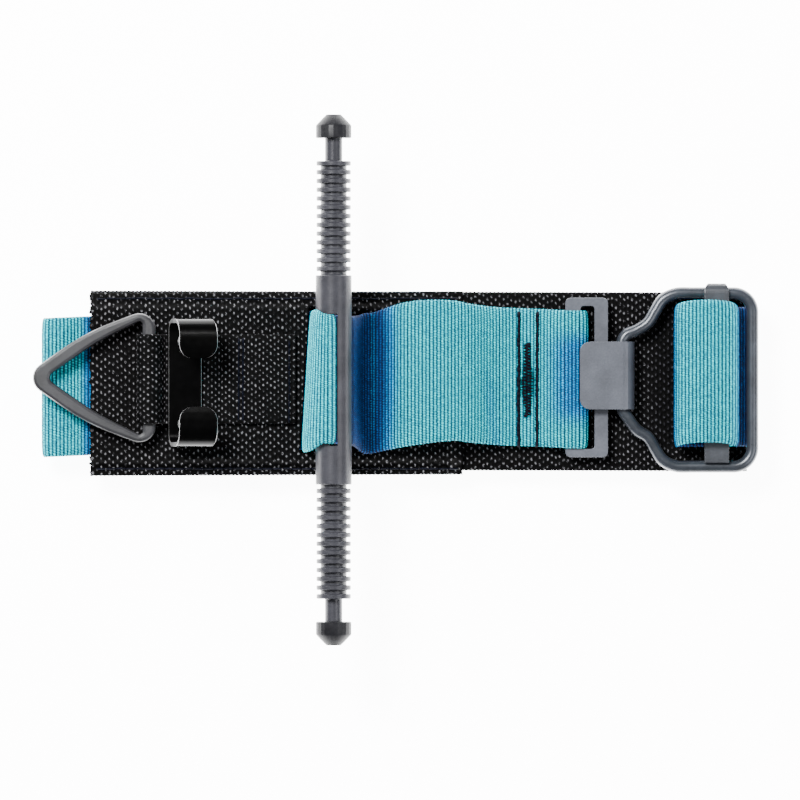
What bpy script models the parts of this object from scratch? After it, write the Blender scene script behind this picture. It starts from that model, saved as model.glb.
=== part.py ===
"""A windlass tourniquet, folded for storage: webbing bands, windlass, locking ring and quick-release buckle.

+X runs from the locking ring to the buckle, +Y along the windlass, +Z up from the table.
Heights and places are in millimetres and become metres in the meshes.
"""

import math

import bmesh
import bpy
from mathutils import Matrix, Vector

MM = 0.001
GAP = 0.3

# Webbing: the long strap is 1.5 in, the bands are 2 in and the keeper is 1 in.
STRAP = 1.4
STRAP_WIDTH = 37.0
BAND = 1.7
KEEPER = 1.1
PITCH = STRAP + GAP

# Heights of the folded stack, from the table up, at the middle of each layer.
TAIL_Z = STRAP / 2
THIRD_Z = TAIL_Z + PITCH
SECOND_Z = THIRD_Z + PITCH
FIRST_Z = SECOND_Z + PITCH
BAND_Z = FIRST_Z + STRAP / 2 + GAP + BAND / 2
SLEEVE_Z = BAND_Z + BAND / 2 + GAP + STRAP / 2
COVER_Z = SLEEVE_Z + STRAP / 2 + GAP + BAND / 2
COVER_TOP = COVER_Z + BAND / 2

# Lengths along X.
BAND_LEFT = -80.6
BAND_RIGHT = 90.0
COVER_RIGHT = 17.8
SLIT_LEFT, SLIT_RIGHT = -25.4, -21.5
SLIT_HALF = 19.6

# Windlass.
ROD_X = -16.2
ROD_Z = 32.35
ROD_RADIUS = 4.75
ROD_SEGMENTS = 16
SLOT_WIDTH = 2.1
SLOT_HALF = 19.8
BODY_HALF = 27.6
RIB_COUNT = 13
RIB_PITCH = 2.315
RIB_WIDTH = 1.2
RIB_RADIUS = 4.55
GROOVE_RADIUS = 3.45
NECK_RADIUS = 2.3
NECK_END = 63.8
HEAD_RADIUS = 4.65
HEAD_EDGE = 67.2
ROD_HALF = 70.0

# Locking ring.
TRI_X = -65.3
TRI_Y = 0.6
TRI_Z = 16.0
TRI_THICK = 3.4
TRI_BAR = 1.8

# Clip.
CLIP_Y = -0.7
CLIP_SHEET = 1.1
CLIP_BASE_Z = 15.3
CLIP_INSIDE = 9.7
CLIP_HALF = 16.9
RIVET_X = -55.6
RIVET_OFFSET = 11.0

# Buckle.
RING_Y = 0.05
PLATE_Y = 0.7
HOOK_Y = 1.2
HOOK_WIDTH = 18.0
PLATE_Z = 11.5
PLATE_THICK = 2.0
NECK_X = 60.4
WIRE_Z = 12.65
WIRE_RADIUS = 1.6
SHEET = 1.4
LEAF_Z = 14.5
SLIDER_X = 85.4
SLIDER_SHEET = 1.2
SLIDER_WIDTH = 6.5
SLIDER_LOWER_END = -22.0
RAIL_Y = 23.05
RING_RIGHT = 95.0

# Loop of strap over the slider.
ARCH_X = 82.75
ARCH_HALF = 7.95
ARCH_FOOT_Z = 14.6
ARCH_RISE = 4.6
ARCH_Y = 0.9


def clear_scene():
    for obj in list(bpy.data.objects):
        bpy.data.objects.remove(obj, do_unlink=True)


def material(name, color, roughness, metallic=0.0):
    made = bpy.data.materials.new(name)
    made.use_nodes = True
    shader = made.node_tree.nodes["Principled BSDF"]
    shader.inputs["Base Color"].default_value = (*color, 1.0)
    shader.inputs["Roughness"].default_value = roughness
    shader.inputs["Metallic"].default_value = metallic
    return made


def add(name, mesh, made, location=(0.0, 0.0, 0.0)):
    """Puts a mesh into the scene; its points are in metres around its own origin."""
    obj = bpy.data.objects.new(name, mesh)
    obj.location = Vector(location) * MM
    bpy.context.scene.collection.objects.link(obj)
    mesh.materials.append(made)
    mesh.shade_smooth()
    mesh.set_sharp_from_angle(angle=math.radians(35))
    return obj


def to_mesh(name, builder):
    mesh = bpy.data.meshes.new(name)
    bmesh.ops.recalc_face_normals(builder, faces=builder.faces)
    builder.to_mesh(mesh)
    builder.free()
    return mesh


def arc(center, radius, first, last, count):
    """Points on a circle in a flat plane, from one angle in degrees to another."""
    points = []
    for step in range(count + 1):
        angle = math.radians(first + (last - first) * step / count)
        points.append((center[0] + radius * math.cos(angle), center[1] + radius * math.sin(angle)))
    return points


def spline(points, per_span=6):
    """A smooth curve through the points (Catmull-Rom), with the end points doubled."""
    guide = [points[0], *points, points[-1]]
    result = []
    for a, b, c, d in zip(guide, guide[1:], guide[2:], guide[3:]):
        for step in range(per_span):
            t = step / per_span
            result.append(tuple(
                0.5 * (2 * q + (r - p) * t + (2 * p - 5 * q + 4 * r - s) * t**2 + (3 * q - p - 3 * r + s) * t**3)
                for p, q, r, s in zip(a, b, c, d)
            ))
    result.append(points[-1])
    return result


def drifting(points, first_y, last_y):
    """Adds a sideways place to each (x, z) point, going evenly from one value to the other."""
    lengths = [0.0]
    for a, b in zip(points, points[1:]):
        lengths.append(lengths[-1] + math.dist(a, b))
    return [(x, first_y + (last_y - first_y) * done / lengths[-1], z) for (x, z), done in zip(points, lengths)]


def normals(points):
    """The normal in the XZ plane at each (x, y, z) point, and how far a mitre stretches it."""
    found = []
    for i in range(len(points)):
        before = points[max(i - 1, 0)]
        here = points[i]
        after = points[min(i + 1, len(points) - 1)]
        first = Vector((here[0] - before[0], here[2] - before[2]))
        last = Vector((after[0] - here[0], after[2] - here[2]))
        first = (first if first.length > 1e-9 else last).normalized()
        last = (last if last.length > 1e-9 else first).normalized()
        middle = (first + last).normalized()
        found.append(Vector((-middle.y, middle.x)) / max(middle.dot(first), 0.5))
    return found


def ribbon(name, points, thickness, width, made):
    """A flat strap along points (x, y, z), as wide along Y as width, in one closed body."""
    builder = bmesh.new()
    rings = []
    for (x, y, z), normal in zip(points, normals(points)):
        offset = normal * thickness / 2
        ring = [
            (x + offset.x, y - width / 2, z + offset.y),
            (x - offset.x, y - width / 2, z - offset.y),
            (x - offset.x, y + width / 2, z - offset.y),
            (x + offset.x, y + width / 2, z + offset.y),
        ]
        rings.append([builder.verts.new(Vector(corner) * MM) for corner in ring])
    for near, far in zip(rings, rings[1:]):
        for i in range(4):
            j = (i + 1) % 4
            builder.faces.new((near[i], near[j], far[j], far[i]))
    builder.faces.new(rings[0])
    builder.faces.new(rings[-1])
    return add(name, to_mesh(name, builder), made)


def block(name, low, high, made, bevel=0.0):
    """A box between two corners, in millimetres, with its edges broken by bevel."""
    builder = bmesh.new()
    bmesh.ops.create_cube(builder, size=1.0)
    middle = (Vector(low) + Vector(high)) / 2
    for vert in builder.verts:
        vert.co = Vector([vert.co[i] * (high[i] - low[i]) * MM for i in range(3)])
    if bevel:
        bmesh.ops.bevel(
            builder, geom=builder.edges[:], offset=bevel * MM, segments=2, profile=0.5, affect="EDGES"
        )
    return add(name, to_mesh(name, builder), made, middle)


def cutter(obj):
    obj.hide_render = True
    obj.display_type = "WIRE"
    return obj


def cut(obj, tool):
    modifier = obj.modifiers.new("Cut " + tool.name, "BOOLEAN")
    modifier.operation = "DIFFERENCE"
    modifier.object = tool


def prism(name, outline, hole, low, high, made, location, bevel=0.0):
    """An outline of (x, y) points with one hole, extruded from low to high and beveled."""
    builder = bmesh.new()
    loops = []
    for points in filter(None, (outline, hole)):
        verts = [builder.verts.new((x * MM, y * MM, low * MM)) for x, y in points]
        loops.append([builder.edges.new((a, b)) for a, b in zip(verts, verts[1:] + verts[:1])])
    edges = [edge for loop in loops for edge in loop]
    bmesh.ops.triangle_fill(builder, edges=edges, use_beauty=True)
    raised = bmesh.ops.extrude_face_region(builder, geom=builder.faces[:])["geom"]
    moved = [item for item in raised if isinstance(item, bmesh.types.BMVert)]
    bmesh.ops.translate(builder, verts=moved, vec=(0, 0, (high - low) * MM))
    obj = add(name, to_mesh(name, builder), made, location)
    if bevel:
        rounding = obj.modifiers.new("Edges", "BEVEL")
        rounding.width = bevel * MM
        rounding.segments = 2
        rounding.limit_method = "ANGLE"
        rounding.angle_limit = math.radians(60)
    return obj


def rounded(corners, count=5):
    """The outline through (x, y, radius) corners, each one rounded by an arc."""
    points = []
    for i, (x, y, radius) in enumerate(corners):
        here = Vector((x, y))
        back = (Vector(corners[i - 1][:2]) - here).normalized()
        on = (Vector(corners[(i + 1) % len(corners)][:2]) - here).normalized()
        half = back.angle(on) / 2
        center = here + (back + on).normalized() * radius / math.sin(half)
        start = here + back * radius / math.tan(half)
        sweep = math.pi - 2 * half
        turn = 1 if back.cross(on) < 0 else -1
        arm = start - center
        for step in range(count + 1):
            points.append(tuple(center + Matrix.Rotation(turn * sweep * step / count, 2) @ arm))
    return points


# Webbing --------------------------------------------------------------------------------------------

def slit_route():
    """The strap from beside the rod down through the slit, left in the sleeve, and round the left loop."""
    down = [(-23.7, 25.4), (-23.7, 18.0), (-23.7, 13.0)]
    bend = arc((-25.0, SLEEVE_Z + 1.3), 1.3, 0, -90, 5)
    sleeve = [(x, SLEEVE_Z) for x in (-30.0, -45.0, -60.0, -75.0)]
    loop = spline([
        (-80.0, SLEEVE_Z), (-84.5, 10.0), (-88.5, 11.2), (-92.0, 10.4),
        (-92.9, 8.2), (-91.4, 6.3), (-87.5, FIRST_Z), (-82.0, FIRST_Z),
    ], 4)
    return down + bend + sleeve + loop


def return_route():
    """The whole return run: the slit route, then right under the band and back over its right end."""
    first_layer = [(x, FIRST_Z) for x in (-60.0, -30.0, 0.0, 30.0, 60.0)]
    fold = arc((90.6, BAND_Z), SLEEVE_Z - BAND_Z, -90, 90, 10)
    return slit_route() + first_layer + fold + [(84.0, SLEEVE_Z), (77.4, SLEEVE_Z)]


def tail_route():
    """From the buckle's right side, round the band's end, then back and forth to the tail's end."""
    outer = arc((90.6, BAND_Z), BAND_Z - SECOND_Z, 48, -90, 12)
    second = [(x, SECOND_Z) for x in (60.0, 30.0, 0.0, -30.0, -60.0)]
    left_fold = arc((-87.0, (SECOND_Z + THIRD_Z) / 2), PITCH / 2, 90, 270, 6)
    third = [(x, THIRD_Z) for x in (-60.0, -30.0, 0.0, 30.0, 60.0)]
    right_fold = arc((86.0, (THIRD_Z + TAIL_Z) / 2), PITCH / 2, 90, -90, 6)
    last = [(x, TAIL_Z) for x in (60.0, 30.0, 0.0, -30.0, -60.0)]
    return outer + second + left_fold + third + right_fold + last


def front_route():
    """The sewn end under the slotted plate, round its bar, over the bulge and down beside the rod."""
    under = [(29.5, SLEEVE_Z), (40.0, SLEEVE_Z)]
    fold = arc((48.9, PLATE_Z), 2.0, -90, 90, 8)
    over = spline([
        (44.6, 13.5), (39.5, 11.6), (35.0, 11.2), (31.0, 11.2), (25.5, 12.9), (19.5, 16.4), (12.0, 18.9),
        (4.0, 18.5), (-2.4, 15.2), (-6.4, 13.3), (-9.3, 15.6), (-10.5, 20.0), (-10.9, 25.2),
    ], 4)
    return under + fold + over


def windlass_loop_route():
    """The strap over the rod's left half, down through its slot and out under its right half."""
    left = [(-23.7, 26.4), (-23.7, 29.0)]
    over = []
    for step in range(9):
        angle = math.pi - math.pi / 2 * step / 8
        over.append((-17.45 + 6.25 * math.cos(angle), 31.0 + 7.25 * math.sin(angle)))
    entry = arc((ROD_X - 1.25, 37.0), 1.25, 72, 0, 4)
    leaving = arc((ROD_X + 1.25, 27.7), 1.25, 180, 270, 5)
    return left + over + entry + leaving + [(-13.4, 26.45), (-11.8, 26.45)]


def slider_loop_route():
    """The strap up, over the slider bar and down again."""
    points = []
    for step in range(13):
        angle = math.pi * (1 - step / 12)
        points.append((ARCH_X + ARCH_HALF * math.cos(angle), ARCH_FOOT_Z + ARCH_RISE * math.sin(angle)))
    return points


def make_straps(blue):
    returning = drifting(return_route(), -0.2, 0.9)
    ribbon("strap_return_run", returning, STRAP, STRAP_WIDTH, blue)
    ribbon("strap_tail_run", drifting(tail_route(), 0.9, -0.5), STRAP, STRAP_WIDTH, blue)
    ribbon("strap_front_run", drifting(front_route(), 0.4, 0.0), STRAP, STRAP_WIDTH, blue)
    loop = drifting(windlass_loop_route(), 0.0, 0.0)
    ribbon("strap_windlass_loop", loop, STRAP, STRAP_WIDTH, blue)
    arch = drifting(slider_loop_route(), ARCH_Y, ARCH_Y)
    ribbon("strap_slider_loop", arch, STRAP, STRAP_WIDTH, blue)


def keeper_route():
    """From the lower end, left round the locking ring's bar, and right to the slit."""
    low = COVER_TOP + GAP + KEEPER / 2
    high = low + KEEPER + GAP
    radius = TRI_Z - low
    loop = arc((TRI_X, TRI_Z), radius, -90, -325, 16)
    down = spline([(-62.15, 15.9), (-61.3, 14.7), (-59.8, high), (-54.0, high), (-50.0, high), (-46.4, low)], 3)
    return [(-50.9, low), (-58.0, low)] + loop + down + [(-38.0, low), (-26.4, low)]


def make_bands(black):
    ribbon("base_band", [(BAND_LEFT, -0.5, BAND_Z), (5.0, -0.5, BAND_Z), (BAND_RIGHT, -0.5, BAND_Z)],
           BAND, 47.4, black)
    cover = ribbon("cover_band", [(BAND_LEFT, -1.4, COVER_Z), (COVER_RIGHT, -1.4, COVER_Z)], BAND, 48.8, black)
    slit = block("slit_tool", (SLIT_LEFT, -SLIT_HALF, COVER_Z - 3), (SLIT_RIGHT, SLIT_HALF, COVER_Z + 3), black)
    cut(cover, cutter(slit))
    keeper = ribbon("keeper_strap", drifting(keeper_route(), 0.4, 0.1), KEEPER, 23.8, black)
    return cover, keeper


# Seams: rows of thread that lie on the webbing ---------------------------------------------------------

def make_seams(thread):
    """Each seam is a low bar that stands for its row of stitches."""
    cloth = COVER_TOP + GAP
    front = 11.2 + STRAP / 2 + GAP
    keeper_low = cloth + KEEPER + GAP
    rows = {
        "front_seam_inner": ((32.2, -18.0, front), (33.4, 18.6, front + 0.35)),
        "front_seam_outer": ((37.0, -18.0, front), (38.2, 18.6, front + 0.35)),
        "front_bartack": ((34.0, -9.2, front), (36.4, 9.2, front + 0.45)),
        "cover_seam_upper": ((-79.0, 20.9, cloth), (16.0, 21.7, cloth + 0.3)),
        "cover_seam_lower": ((-79.0, -24.5, cloth), (16.0, -23.7, cloth + 0.3)),
        "keeper_end_seam": ((-28.6, -12.0, keeper_low), (-27.6, 11.8, keeper_low + 0.3)),
        "keeper_bartack": ((-42.0, -11.0, keeper_low), (-40.0, 10.8, keeper_low + 0.35)),
    }
    for name, (low, high) in rows.items():
        block(name, low, high, thread, 0.1)


# Windlass -----------------------------------------------------------------------------------------------

def rod_profile():
    """(distance from the middle, radius) from the slot end of the body out to the head's tip."""
    profile = [(BODY_HALF, ROD_RADIUS)]
    for rib in range(RIB_COUNT):
        start = BODY_HALF + RIB_PITCH * (rib + 1) - RIB_WIDTH
        profile += [
            (start - RIB_PITCH + RIB_WIDTH, GROOVE_RADIUS),
            (start, GROOVE_RADIUS),
            (start, RIB_RADIUS),
            (start + RIB_WIDTH, RIB_RADIUS),
        ]
    ribs_end = BODY_HALF + RIB_PITCH * RIB_COUNT
    return profile + [
        (ribs_end, NECK_RADIUS),
        (NECK_END, NECK_RADIUS),
        (NECK_END, HEAD_RADIUS),
        (HEAD_EDGE, HEAD_RADIUS),
        (ROD_HALF - 0.6, 2.3),
        (ROD_HALF, 1.5),
    ]


def make_windlass(metal):
    half = rod_profile()
    profile = [(-y, radius) for y, radius in reversed(half)] + half
    builder = bmesh.new()
    rings = []
    for y, radius in profile:
        ring = []
        for step in range(ROD_SEGMENTS):
            angle = 2 * math.pi * (step + 0.5) / ROD_SEGMENTS
            ring.append(builder.verts.new(Vector((radius * math.cos(angle), y, radius * math.sin(angle))) * MM))
        rings.append(ring)
    for near, far in zip(rings, rings[1:]):
        for i in range(ROD_SEGMENTS):
            j = (i + 1) % ROD_SEGMENTS
            builder.faces.new((near[i], near[j], far[j], far[i]))
    builder.faces.new(rings[0])
    builder.faces.new(rings[-1])
    rod = add("windlass_rod", to_mesh("windlass_rod", builder), metal, (ROD_X, 0, ROD_Z))
    half_slot = SLOT_WIDTH / 2
    slot = block("slot_tool", (ROD_X - half_slot, -SLOT_HALF, ROD_Z - 8), (ROD_X + half_slot, SLOT_HALF, ROD_Z + 8),
                 metal)
    cut(rod, cutter(slot))


# Locking ring and clip --------------------------------------------------------------------------------------

def bowed(tip, tip_radius, middle, middle_y, bow, base, base_y, base_radius):
    """The corners of a triangle that points left, each of its two legs bowed by one wide corner halfway."""
    upper = [(middle, middle_y, bow), (base, base_y, base_radius)]
    return [(tip, 0.0, tip_radius), *upper, *[(x, -y, radius) for x, y, radius in reversed(upper)]]


def make_locking_ring(plastic):
    """A rounded triangle, its own origin on the bar that it swings about."""
    outer = rounded(bowed(-33.95, 4.2, -17.0, 12.0, 60.0, TRI_BAR, 19.1, 4.4), 7)
    inner = rounded(bowed(-27.5, 1.6, -14.0, 9.4, 60.0, -TRI_BAR, 15.4, 0.8), 6)
    prism("locking_ring", outer, inner, -TRI_THICK / 2, TRI_THICK / 2, plastic, (TRI_X, TRI_Y, TRI_Z), 0.9)


def clip_stations():
    """(y, z, left x, right x) along the sheet's middle line, from the base up the wall to the finger's tip."""
    base = CLIP_BASE_Z + CLIP_SHEET / 2
    top = CLIP_BASE_Z + CLIP_SHEET + CLIP_INSIDE + CLIP_SHEET / 2
    wall = CLIP_HALF - CLIP_SHEET / 2
    radius = 2.6
    low = arc((wall - radius, base + radius), radius, -90, 0, 4)
    high = arc((wall - 4.2, top - 4.2), 4.2, 0, 90, 6)
    line = low + high + [(wall - 6.6, top), (wall - 8.4, top - 0.1), (wall - 9.6, top - 0.35)]
    stations = []
    for y, z in line:
        rise = min(max((z - base) / (top - base), 0.0), 1.0)
        past = max(wall - 4.2 - y, 0.0) if z > base + 6 else 0.0
        nose = 0.045 * past**2
        stations.append((y, z, -60.1 + 3.1 * rise + nose, -51.4 + 4.5 * rise - nose))
    return stations


def make_clip(steel):
    """Sheet bent into a C: a base and a finger that curls over it at each end."""
    side = clip_stations()
    stations = [(-y, z, left, right) for y, z, left, right in reversed(side)] + side
    line = [(y, 0.0, z) for y, z, _, _ in stations]
    builder = bmesh.new()
    rings = []
    for (y, z, left, right), normal in zip(stations, normals(line)):
        offset = normal * CLIP_SHEET / 2
        ring = [
            (left, y + offset.x, z + offset.y),
            (left, y - offset.x, z - offset.y),
            (right, y - offset.x, z - offset.y),
            (right, y + offset.x, z + offset.y),
        ]
        rings.append([builder.verts.new(Vector(corner) * MM) for corner in ring])
    for near, far in zip(rings, rings[1:]):
        for i in range(4):
            j = (i + 1) % 4
            builder.faces.new((near[i], near[j], far[j], far[i]))
    builder.faces.new(rings[0])
    builder.faces.new(rings[-1])
    return add("windlass_clip", to_mesh("windlass_clip", builder), steel, (0, CLIP_Y, 0))


def cylinder(name, radius, low, high, made, place, segments=16):
    builder = bmesh.new()
    bmesh.ops.create_cone(
        builder, cap_ends=True, segments=segments, radius1=radius * MM, radius2=radius * MM, depth=(high - low) * MM
    )
    return add(name, to_mesh(name, builder), made, (place[0], place[1], (low + high) / 2))


def make_rivet(name, place, steel):
    """A shank through clip and keeper, with a flat head on the clip and one sunk in the cover band."""
    head_z = CLIP_BASE_Z + CLIP_SHEET + GAP
    foot_z = COVER_TOP - 0.6
    profile = [
        (0.6, foot_z), (2.1, foot_z), (2.1, COVER_TOP), (1.0, COVER_TOP),
        (1.0, head_z), (2.2, head_z), (2.0, head_z + 0.5), (0.9, head_z + 0.7),
    ]
    segments = 14
    builder = bmesh.new()
    rings = []
    for radius, z in profile:
        angles = [2 * math.pi * step / segments for step in range(segments)]
        rings.append([builder.verts.new(Vector((radius * math.cos(a), radius * math.sin(a), z)) * MM) for a in angles])
    for near, far in zip(rings, rings[1:]):
        for i in range(segments):
            j = (i + 1) % segments
            builder.faces.new((near[i], near[j], far[j], far[i]))
    builder.faces.new(rings[0])
    builder.faces.new(rings[-1])
    add(name, to_mesh(name, builder), steel, (place[0], place[1], 0))


def make_rivets(steel, clip, keeper, cover):
    for name, side in (("clip_rivet_upper", 1), ("clip_rivet_lower", -1)):
        place = (RIVET_X, CLIP_Y + side * RIVET_OFFSET)
        make_rivet(name, place, steel)
        shank_hole = cutter(cylinder(name + "_shank_tool", 1.3, COVER_TOP + 0.1, CLIP_BASE_Z + 4, steel, place))
        foot_hole = cutter(cylinder(name + "_foot_tool", 2.5, COVER_Z - 3, COVER_TOP + 0.2, steel, place))
        cut(clip, shank_hole)
        cut(keeper, shank_hole)
        cut(cover, foot_hole)


# Buckle ---------------------------------------------------------------------------------------------------

def make_slotted_plate(steel):
    low, high = PLATE_Z - PLATE_THICK / 2, PLATE_Z + PLATE_THICK / 2
    outer = rounded([(45.3, -21.2, 1.4), (56.6, -21.2, 1.4), (56.6, 21.2, 1.4), (45.3, 21.2, 1.4)], 4)
    inner = rounded([(49.3, -19.0, 0.8), (53.0, -19.0, 0.8), (53.0, 19.0, 0.8), (49.3, 19.0, 0.8)], 3)
    prism("slotted_plate", outer, inner, low, high, steel, (0, PLATE_Y, 0), 0.25)


def make_hook(steel):
    """A leaf over the plate's bar, rolled round the ring's neck, with a lug that drops behind the bar."""
    roll = WIRE_RADIUS + 0.25 + SHEET / 2
    leaf_left = 49.1
    leaf_mid = LEAF_Z + SHEET / 2
    line = [(leaf_left, leaf_mid), (52.0, leaf_mid), (56.0, leaf_mid)]
    line += arc((NECK_X, WIRE_Z), roll, 90, -125, 16)
    hook = ribbon("buckle_hook", [(x - NECK_X, 0.0, z - WIRE_Z) for x, z in line], SHEET, HOOK_WIDTH, steel)
    hook.location = Vector((NECK_X, HOOK_Y, WIRE_Z)) * MM
    lug = block("lug_tool", (51.9, HOOK_Y - 6.0, 10.8), (52.7, HOOK_Y + 6.0, leaf_mid), steel)
    join = hook.modifiers.new("Lug", "BOOLEAN")
    join.operation = "UNION"
    join.object = cutter(lug)
    for side in (-1, 1):
        corner = prism(
            "corner_tool_upper" if side > 0 else "corner_tool_lower",
            corner_outline(leaf_left - 0.5, side * 9.5, 3.2, side), None, LEAF_Z - 1, LEAF_Z + SHEET + 1, steel,
            (0, HOOK_Y, 0),
        )
        cut(hook, cutter(corner))


def corner_outline(x, y, size, side):
    """The waste outside a rounded corner of the leaf; side is 1 above and -1 below."""
    radius = size - 0.5
    center = (x + 0.5 + radius, y - side * (0.5 + radius))
    curve = arc(center, radius, 180, 180 - side * 90, 6)
    return [(x, y), (x, curve[0][1]), *curve, (curve[-1][0], y)]


def ring_outline(neck_end):
    """Half of the wire's middle line, above the X axis, from the neck to the right bar's middle."""
    shoulder = spline([
        (NECK_X, neck_end - 2.0), (NECK_X, neck_end), (61.6, neck_end + 1.9), (64.2, 13.2), (67.2, 15.2),
        (69.2, 18.4), (71.2, 21.3), (74.7, 22.95), (79.0, RAIL_Y),
    ], 3)
    corner = arc((RING_RIGHT - 5.0, RAIL_Y - 5.0), 5.0, 90, 0, 6)
    return shoulder + corner + [(RING_RIGHT, 8.0)]


def make_ring(steel):
    neck_middle = HOOK_Y - RING_Y
    upper = ring_outline(HOOK_WIDTH / 2 + neck_middle)
    lower = [(x, -y) for x, y in reversed(ring_outline(HOOK_WIDTH / 2 - neck_middle))]
    curve = bpy.data.curves.new("buckle_ring", "CURVE")
    curve.dimensions = "3D"
    curve.bevel_depth = WIRE_RADIUS * MM
    curve.bevel_resolution = 3
    line = curve.splines.new("POLY")
    line.points.add(len(upper) + len(lower) - 1)
    for point, (x, y) in zip(line.points, upper + lower):
        point.co = ((x - NECK_X) * MM, y * MM, 0.0, 1.0)
    line.use_cyclic_u = True
    line.use_smooth = True
    obj = bpy.data.objects.new("buckle_ring", curve)
    obj.location = Vector((NECK_X, RING_Y, WIRE_Z)) * MM
    curve.materials.append(steel)
    bpy.context.scene.collection.objects.link(obj)


def make_slider(steel):
    """A flat bar that lies on both rails, ends on the lower one and bends down round the upper one."""
    radius = WIRE_RADIUS + 0.25 + SLIDER_SHEET / 2
    line = [(SLIDER_LOWER_END, radius), (-6.0, radius), (6.0, radius), *arc((RAIL_Y, 0.0), radius, 90, 30, 6)]
    builder = bmesh.new()
    rings = []
    for (y, z), normal in zip(line, normals([(y, 0.0, z) for y, z in line])):
        offset = normal * SLIDER_SHEET / 2
        width = SLIDER_WIDTH / 2 - 1.4 * max((y - RAIL_Y) / radius, 0.0) ** 3
        ring = [
            (-width, y + offset.x, z + offset.y),
            (-width, y - offset.x, z - offset.y),
            (width, y - offset.x, z - offset.y),
            (width, y + offset.x, z + offset.y),
        ]
        rings.append([builder.verts.new(Vector(corner) * MM) for corner in ring])
    for near, far in zip(rings, rings[1:]):
        for i in range(4):
            j = (i + 1) % 4
            builder.faces.new((near[i], near[j], far[j], far[i]))
    builder.faces.new(rings[0])
    builder.faces.new(rings[-1])
    add("slider_bar", to_mesh("slider_bar", builder), steel, (SLIDER_X, RING_Y, WIRE_Z))


def main():
    clear_scene()
    blue = material("blue webbing", (0.02, 0.36, 0.44), 0.6)
    black = material("black webbing", (0.012, 0.012, 0.014), 0.85)
    thread = material("black thread", (0.006, 0.006, 0.01), 0.7)
    anodised = material("anodised aluminium", (0.13, 0.13, 0.15), 0.35, 0.8)
    plastic = material("moulded plastic", (0.07, 0.07, 0.075), 0.5)
    dark_steel = material("black coated steel", (0.012, 0.012, 0.013), 0.25, 0.6)
    grey_steel = material("grey coated steel", (0.22, 0.24, 0.29), 0.45, 0.7)
    wire_steel = material("dark coated wire", (0.09, 0.1, 0.12), 0.35, 0.7)
    cover, keeper = make_bands(black)
    make_straps(blue)
    make_seams(thread)
    make_windlass(anodised)
    make_locking_ring(plastic)
    clip = make_clip(dark_steel)
    make_rivets(dark_steel, clip, keeper, cover)
    make_slotted_plate(grey_steel)
    make_hook(grey_steel)
    make_ring(wire_steel)
    make_slider(grey_steel)


main()
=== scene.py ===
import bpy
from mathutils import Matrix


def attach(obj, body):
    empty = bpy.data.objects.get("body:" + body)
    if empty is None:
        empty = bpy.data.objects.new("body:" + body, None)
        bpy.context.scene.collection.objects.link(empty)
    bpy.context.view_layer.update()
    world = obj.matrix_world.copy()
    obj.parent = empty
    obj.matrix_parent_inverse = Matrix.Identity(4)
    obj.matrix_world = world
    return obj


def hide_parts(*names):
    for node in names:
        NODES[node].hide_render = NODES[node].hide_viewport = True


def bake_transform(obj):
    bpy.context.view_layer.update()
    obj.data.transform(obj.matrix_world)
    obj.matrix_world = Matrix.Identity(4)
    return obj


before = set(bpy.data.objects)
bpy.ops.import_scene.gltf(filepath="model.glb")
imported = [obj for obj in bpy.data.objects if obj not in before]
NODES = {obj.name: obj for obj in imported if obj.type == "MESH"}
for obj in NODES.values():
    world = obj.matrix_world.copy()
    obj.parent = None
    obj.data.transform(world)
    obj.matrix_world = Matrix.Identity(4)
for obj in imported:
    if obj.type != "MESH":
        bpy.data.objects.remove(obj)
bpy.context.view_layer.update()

# Looks of the folded windlass tourniquet: woven webbing, thread, a turned rod and coated steel.
# Routes and sections are in millimetres, in the frame's axes, and become metres in the meshes.

import math

import bmesh
import bpy
import numpy as np
from mathutils import Vector

MM = 0.001

# Webbing: the thickness and width of the long strap, and the widths of the bands and the keeper.
STRAP, STRAP_WIDTH = 1.4, 37.0
BASE_WIDTH, COVER_WIDTH, KEEPER_WIDTH = 47.6, 48.8, 23.8

# Heights of the folded stack, at the middle of each layer, and PITCH from one strap layer to the next.
PITCH = 1.7
TAIL_Z, THIRD_Z, SECOND_Z, FIRST_Z = 0.7, 2.4, 4.1, 5.8
BAND_Z, SLEEVE_Z, COVER_Z, COVER_TOP = 7.65, 9.5, 11.35, 12.2
FRONT_Z = 11.2
RISER_TOP = 12.6

# Ends of the bands, and the slit that the strap comes out of: low x, high x, low y, high y, and LEAN, by
# which its x grows for each unit of y. LEG_X is where the strap stands in it, and VALLEY the (x, z) place
# beside the rod where the strap's two ends meet.
BAND_LEFT, COVER_RIGHT = -80.8, 17.8
FOLD_X = 92.4
LEAN = 0.062
SLIT = (-24.3, -21.3, -19.6, 19.6, LEAN)
LEG_X = -23.7
VALLEY = (-6.4, 13.3)

# The windlass rod, from its middle outwards.
ROD_X, ROD_Z = -16.2, 32.35
BARREL_HALF, BARREL_RADIUS = 27.6, 4.75
RIB_COUNT, RIB_PITCH, RIB_WIDTH = 13, 2.315, 1.2
RIB_RADIUS, GROOVE_RADIUS, NECK_RADIUS = 4.55, 3.45, 2.3
HEAD_INNER, HEAD_RIM, HEAD_CROWN, ROD_HALF = 63.8, 67.2, 69.2, 70.0
HEAD_RADIUS, CROWN_RADIUS, TIP_RADIUS = 4.65, 2.75, 1.9
SLOT_WIDTH, SLOT_LENGTH, SLOT_DEPTH = 2.1, 34.8, 16

# The windlass clip: one sheet bent into a C, with a rounded finger at each end.
CLIP_Y = -0.7
CLIP_FOOT_Z, CLIP_GAP, CLIP_HALF, SHEET = 15.3, 9.7, 16.9, 1.1
# The width of the clip's eased cut edges, which carry a painted highlight.
HIGHLIGHT_EDGE = 0.1

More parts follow.
